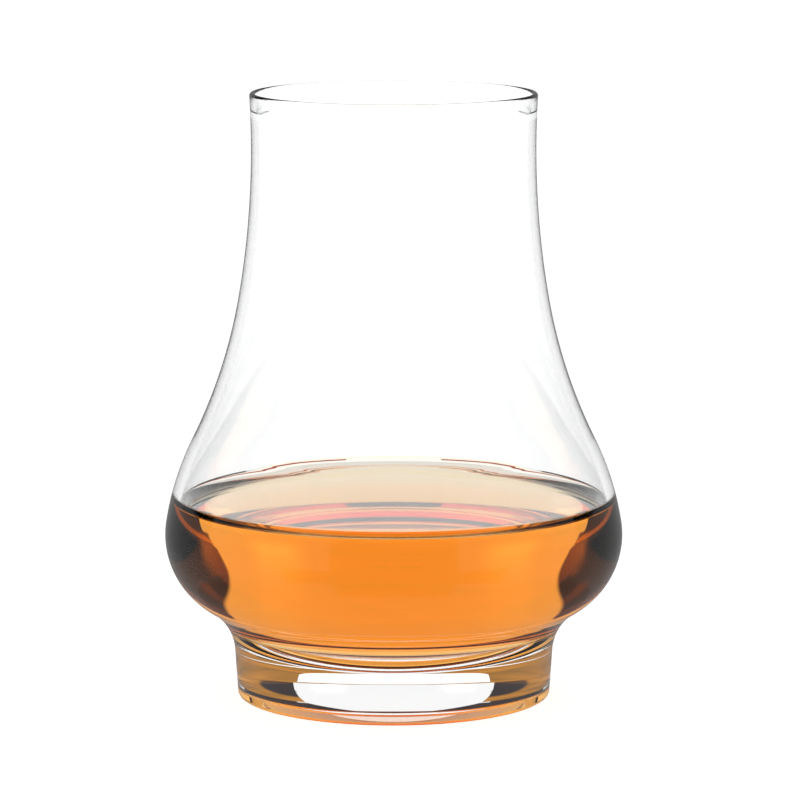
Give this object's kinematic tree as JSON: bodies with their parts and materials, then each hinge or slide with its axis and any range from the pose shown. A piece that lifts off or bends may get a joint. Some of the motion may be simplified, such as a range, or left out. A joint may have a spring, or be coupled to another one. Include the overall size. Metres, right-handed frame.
{
  "type": "whisky nosing glass",
  "caption": "Clear tulip-shaped nosing glass with a wide bowl, a tall open chimney and a heavy solid foot, holding a pour of amber whisky.",
  "frame": {"origin": "on the axis of the glass, at the height of the table that it stands on", "axes": "+Z along the axis of the glass, from the foot up to the rim; X and Y are alike, because the glass is round"},
  "size_m": [0.0876, 0.0876, 0.116],
  "materials": {
    "clear_glass": "polished",
    "whisky": "polished"
  },
  "bodies": {
    "root": {"bowl": "clear_glass", "foot": "clear_glass", "whisky": "whisky"}
  },
  "joints": []
}
